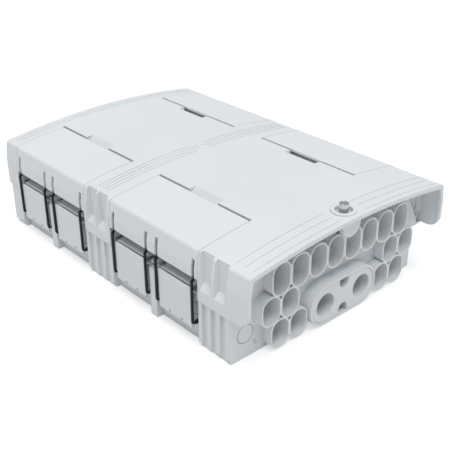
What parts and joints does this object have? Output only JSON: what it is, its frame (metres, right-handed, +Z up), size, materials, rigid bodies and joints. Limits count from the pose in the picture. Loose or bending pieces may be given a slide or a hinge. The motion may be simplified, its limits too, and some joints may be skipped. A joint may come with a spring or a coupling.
{
  "type": "fibre distribution box",
  "caption": "Flat grey moulded closure for fibre cable joints, with lever latches and wire bails on its long sides and round-cornered cable ports at one end.",
  "frame": {"origin": "middle of the flat underside", "axes": "+Z up, -Y towards the cable ports, +X across the box"},
  "size_m": [0.292, 0.42, 0.1245],
  "materials": {
    "shell": "light grey moulded plastic, fine texture",
    "lever": "light grey moulded plastic, fine texture",
    "insert": "light grey moulded plastic",
    "seal": "soft black rubber",
    "plate": "plain sheet",
    "screws": "zinc plated",
    "inner_plastic": "white moulded plastic",
    "tray": "white moulded plastic",
    "comb": "soft blue rubber",
    "cover": "clear sheet",
    "strap": "woven black strap",
    "earth": "plain brass",
    "stud": "polished steel",
    "bail": "black coated spring wire"
  },
  "bodies": {
    "case": {"base_shell": "shell", "lid_shell": "shell", "lid_gasket": "seal", "insert_upper": "insert", "insert_lower": "insert", "insert_seal": "seal", "mounting_plate": "plate", "plate_screws": "screws", "slack_basket": "inner_plastic", "tray_bracket": "inner_plastic", "splice_tray_1": "tray", "splice_tray_2": "tray", "splice_tray_3": "tray", "splice_tray_4": "tray", "splice_tray_5": "tray", "splice_tray_6": "tray", "splice_comb_1": "comb", "splice_comb_2": "comb", "splice_comb_3": "comb", "splice_comb_4": "comb", "splice_comb_5": "comb", "splice_comb_6": "comb", "tray_cover": "cover", "tray_strap": "strap", "clamp_bar_lower": "inner_plastic", "clamp_bar_upper": "inner_plastic", "clamp_screws": "screws", "earth_stud": "earth", "earth_nuts": "earth"},
    "stud": {"lock_stud": "stud", "stud_clip": "screws"},
    "lever_left_front": {"lever_left_front": "lever"},
    "bail_left_front_a": {"bail_left_front_a": "bail"},
    "bail_left_front_b": {"bail_left_front_b": "bail"},
    "lever_left_rear": {"lever_left_rear": "lever"},
    "bail_left_rear_a": {"bail_left_rear_a": "bail"},
    "bail_left_rear_b": {"bail_left_rear_b": "bail"},
    "lever_right_front": {"lever_right_front": "lever"},
    "bail_right_front_a": {"bail_right_front_a": "bail"},
    "bail_right_front_b": {"bail_right_front_b": "bail"},
    "lever_right_rear": {"lever_right_rear": "lever"},
    "bail_right_rear_a": {"bail_right_rear_a": "bail"},
    "bail_right_rear_b": {"bail_right_rear_b": "bail"}
  },
  "joints": [
    {"name": "stud_turn", "type": "hinge", "parent": "case", "child": "stud", "pos_m": [0, -0.192, 0.11], "axis": [0, 0, 1], "range_deg": [0, 90]},
    {"name": "lever_left_front_swing", "type": "hinge", "parent": "case", "child": "lever_left_front", "pos_m": [-0.124, -0.072, 0.088], "axis": [0, -1, 0], "range_deg": [0, 70]},
    {"name": "bail_left_front_a_swing", "type": "hinge", "parent": "lever_left_front", "child": "bail_left_front_a", "pos_m": [-0.137, -0.108, 0.09], "axis": [0, -1, 0], "range_deg": [-77.1, 0]},
    {"name": "bail_left_front_b_swing", "type": "hinge", "parent": "lever_left_front", "child": "bail_left_front_b", "pos_m": [-0.137, -0.036, 0.09], "axis": [0, -1, 0], "range_deg": [-77.1, 0]},
    {"name": "lever_left_rear_swing", "type": "hinge", "parent": "case", "child": "lever_left_rear", "pos_m": [-0.124, 0.116, 0.088], "axis": [0, -1, 0], "range_deg": [0, 70]},
    {"name": "bail_left_rear_a_swing", "type": "hinge", "parent": "lever_left_rear", "child": "bail_left_rear_a", "pos_m": [-0.137, 0.08, 0.09], "axis": [0, -1, 0], "range_deg": [-77.1, 0]},
    {"name": "bail_left_rear_b_swing", "type": "hinge", "parent": "lever_left_rear", "child": "bail_left_rear_b", "pos_m": [-0.137, 0.152, 0.09], "axis": [0, -1, 0], "range_deg": [-77.1, 0]},
    {"name": "lever_right_front_swing", "type": "hinge", "parent": "case", "child": "lever_right_front", "pos_m": [0.124, -0.072, 0.088], "axis": [0, 1, 0], "range_deg": [0, 70]},
    {"name": "bail_right_front_a_swing", "type": "hinge", "parent": "lever_right_front", "child": "bail_right_front_a", "pos_m": [0.137, -0.108, 0.09], "axis": [0, 1, 0], "range_deg": [-77.1, 0]},
    {"name": "bail_right_front_b_swing", "type": "hinge", "parent": "lever_right_front", "child": "bail_right_front_b", "pos_m": [0.137, -0.036, 0.09], "axis": [0, 1, 0], "range_deg": [-77.1, 0]},
    {"name": "lever_right_rear_swing", "type": "hinge", "parent": "case", "child": "lever_right_rear", "pos_m": [0.124, 0.116, 0.088], "axis": [0, 1, 0], "range_deg": [0, 70]},
    {"name": "bail_right_rear_a_swing", "type": "hinge", "parent": "lever_right_rear", "child": "bail_right_rear_a", "pos_m": [0.137, 0.08, 0.09], "axis": [0, 1, 0], "range_deg": [-77.1, 0]},
    {"name": "bail_right_rear_b_swing", "type": "hinge", "parent": "lever_right_rear", "child": "bail_right_rear_b", "pos_m": [0.137, 0.152, 0.09], "axis": [0, 1, 0], "range_deg": [-77.1, 0]}
  ],
  "couplings": [
    {"joint": "bail_left_front_a_swing", "follows": "lever_left_front_swing", "ratio": -1.1},
    {"joint": "bail_left_front_b_swing", "follows": "lever_left_front_swing", "ratio": -1.1},
    {"joint": "bail_left_rear_a_swing", "follows": "lever_left_rear_swing", "ratio": -1.1},
    {"joint": "bail_left_rear_b_swing", "follows": "lever_left_rear_swing", "ratio": -1.1},
    {"joint": "bail_right_front_a_swing", "follows": "lever_right_front_swing", "ratio": -1.1},
    {"joint": "bail_right_front_b_swing", "follows": "lever_right_front_swing", "ratio": -1.1},
    {"joint": "bail_right_rear_a_swing", "follows": "lever_right_rear_swing", "ratio": -1.1},
    {"joint": "bail_right_rear_b_swing", "follows": "lever_right_rear_swing", "ratio": -1.1}
  ]
}
